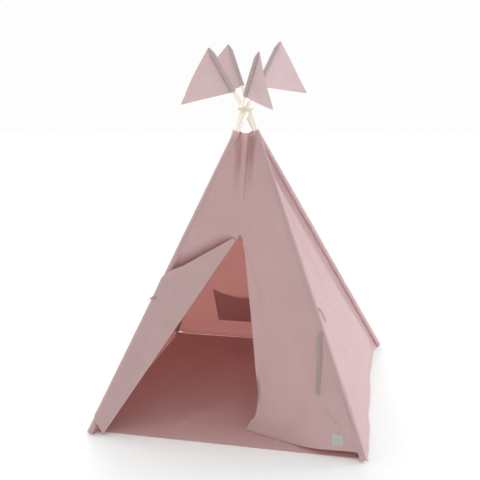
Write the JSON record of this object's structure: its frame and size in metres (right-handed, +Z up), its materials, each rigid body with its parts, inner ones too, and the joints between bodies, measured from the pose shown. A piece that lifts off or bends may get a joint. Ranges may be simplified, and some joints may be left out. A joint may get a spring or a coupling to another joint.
{
  "type": "kids teepee",
  "caption": "Folding play teepee of crossed wooden poles in a sleeved cotton cover with a two-flap door, inner pocket, pole-top flags and a floor mat.",
  "frame": {"origin": "middle of the footprint, on the floor", "axes": "+Z up; +X to the right of someone who faces the door; +Y from the door to the back wall"},
  "size_m": [1.2188, 1.2188, 1.6586],
  "materials": {
    "pine": "bare sanded softwood",
    "cover_cotton": "matt woven cotton, dusty pink",
    "flag_cotton": "matt woven cotton, dusty pink",
    "mat_cotton": "matt woven cotton, dusty pink",
    "label_cotton": "bare pale cotton tape",
    "ribbon_linen": "grey-green linen tape",
    "lashing_cord": "pale cotton cord"
  },
  "bodies": {
    "mat": {"floor_mat": "mat_cotton"},
    "crossing": {"crossing_lashing": "lashing_cord", "lashing_knot": "lashing_cord", "lashing_tail_long": "lashing_cord", "lashing_tail_short": "lashing_cord"},
    "front_left_leg": {"pole_front_left": "pine", "sleeve_front_left": "cover_cotton", "left_pole_tie": "ribbon_linen"},
    "front_right_leg": {"pole_front_right": "pine", "sleeve_front_right": "cover_cotton", "right_pole_tie": "ribbon_linen", "right_pole_tie_back": "ribbon_linen"},
    "back_right_leg": {"pole_back_right": "pine", "sleeve_back_right": "cover_cotton"},
    "back_left_leg": {"pole_back_left": "pine", "sleeve_back_left": "cover_cotton"},
    "front_cover": {"front_wall": "cover_cotton"},
    "right_cover": {"right_wall": "cover_cotton"},
    "back_cover": {"back_wall": "cover_cotton", "inner_pocket": "cover_cotton"},
    "left_cover": {"left_wall": "cover_cotton"},
    "right_flap": {"right_flap": "cover_cotton", "label_patch": "label_cotton", "right_flap_tie": "ribbon_linen"},
    "left_flap": {"left_flap": "cover_cotton"},
    "left_flap_tip": {"left_flap_tip": "cover_cotton"},
    "flag_front_left": {"flag_front_left": "flag_cotton"},
    "flag_front_right": {"flag_front_right": "flag_cotton"},
    "flag_back_right": {"flag_back_right": "flag_cotton"},
    "flag_back_left": {"flag_back_left": "flag_cotton"}
  },
  "joints": [
    {"name": "crossing_lift", "type": "slide", "parent": "mat", "child": "crossing", "axis": [0, 0, 1], "range_m": [0, 0.5]},
    {"name": "front_left_leg_fold", "type": "hinge", "parent": "crossing", "child": "front_left_leg", "pos_m": [0.01327, -0.01327, 1.365], "axis": [0.7071, -0.7071, 0], "range_deg": [0, 26.8]},
    {"name": "front_right_leg_fold", "type": "hinge", "parent": "crossing", "child": "front_right_leg", "pos_m": [0.01327, 0.01327, 1.365], "axis": [0.7071, 0.7071, 0], "range_deg": [0, 26.8]},
    {"name": "back_right_leg_fold", "type": "hinge", "parent": "crossing", "child": "back_right_leg", "pos_m": [-0.01327, 0.01327, 1.365], "axis": [-0.7071, 0.7071, 0], "range_deg": [0, 26.8]},
    {"name": "back_left_leg_fold", "type": "hinge", "parent": "crossing", "child": "back_left_leg", "pos_m": [-0.01327, -0.01327, 1.365], "axis": [-0.7071, -0.7071, 0], "range_deg": [0, 26.8]},
    {"name": "front_cover_fold", "type": "hinge", "parent": "crossing", "child": "front_cover", "pos_m": [0, 0, 1.365], "axis": [1, 0, 0], "range_deg": [0, 20.2], "deforming": ["front_wall", "right_flap", "left_flap", "label_patch"]},
    {"name": "right_cover_fold", "type": "hinge", "parent": "crossing", "child": "right_cover", "pos_m": [0, 0, 1.365], "axis": [0, 1, 0], "range_deg": [0, 20.2], "deforming": ["right_wall"]},
    {"name": "back_cover_fold", "type": "hinge", "parent": "crossing", "child": "back_cover", "pos_m": [0, 0, 1.365], "axis": [-1, 0, 0], "range_deg": [0, 20.2], "deforming": ["back_wall", "inner_pocket"]},
    {"name": "left_cover_fold", "type": "hinge", "parent": "crossing", "child": "left_cover", "pos_m": [0, 0, 1.365], "axis": [0, -1, 0], "range_deg": [0, 20.2], "deforming": ["left_wall"]},
    {"name": "right_flap_swing", "type": "hinge", "parent": "front_cover", "child": "right_flap", "pos_m": [0.018, -0.23496, 0.83961], "axis": [0.5133, -0.3456, -0.7855], "range_deg": [-150, 0]},
    {"name": "left_flap_swing", "type": "hinge", "parent": "front_cover", "child": "left_flap", "pos_m": [0.018, -0.2367, 0.84037], "axis": [-0.5196, -0.3442, -0.7821], "range_deg": [-175, 0]},
    {"name": "left_flap_tip_bend", "type": "hinge", "parent": "left_flap", "child": "left_flap_tip", "pos_m": [-0.31062, -0.32369, 0.67761], "axis": [0.3833, 0.3668, 0.8476], "range_deg": [0, 80.7], "deforming": ["left_flap_tip"]},
    {"name": "front_left_flag_swivel", "type": "hinge", "parent": "front_left_leg", "child": "flag_front_left", "pos_m": [0.10045, 0.07014, 1.55905], "axis": [0.3815, 0.365, 0.8492], "range_deg": [-30, 30]},
    {"name": "front_right_flag_swivel", "type": "hinge", "parent": "front_right_leg", "child": "flag_front_right", "pos_m": [-0.06795, 0.09817, 1.55395], "axis": [-0.365, 0.3815, 0.8492], "range_deg": [-60, 0]},
    {"name": "back_right_flag_swivel", "type": "hinge", "parent": "back_right_leg", "child": "flag_back_right", "pos_m": [-0.0913, -0.06138, 1.53867], "axis": [-0.3815, -0.365, 0.8492], "range_deg": [-30, 30]},
    {"name": "back_left_flag_swivel", "type": "hinge", "parent": "back_left_leg", "child": "flag_back_left", "pos_m": [0.05189, -0.08138, 1.51659], "axis": [0.365, -0.3815, 0.8492], "range_deg": [-30, 30]}
  ],
  "couplings": [
    {"joint": "front_left_leg_fold", "follows": "crossing_lift", "rad_per_m": 0.9355},
    {"joint": "front_right_leg_fold", "follows": "crossing_lift", "rad_per_m": 0.9355},
    {"joint": "back_right_leg_fold", "follows": "crossing_lift", "rad_per_m": 0.9355},
    {"joint": "back_left_leg_fold", "follows": "crossing_lift", "rad_per_m": 0.9355},
    {"joint": "front_cover_fold", "follows": "crossing_lift", "rad_per_m": 0.70511},
    {"joint": "right_cover_fold", "follows": "crossing_lift", "rad_per_m": 0.70511},
    {"joint": "back_cover_fold", "follows": "crossing_lift", "rad_per_m": 0.70511},
    {"joint": "left_cover_fold", "follows": "crossing_lift", "rad_per_m": 0.70511},
    {"joint": "left_flap_tip_bend", "follows": "left_flap_swing", "ratio": -0.46114}
  ]
}
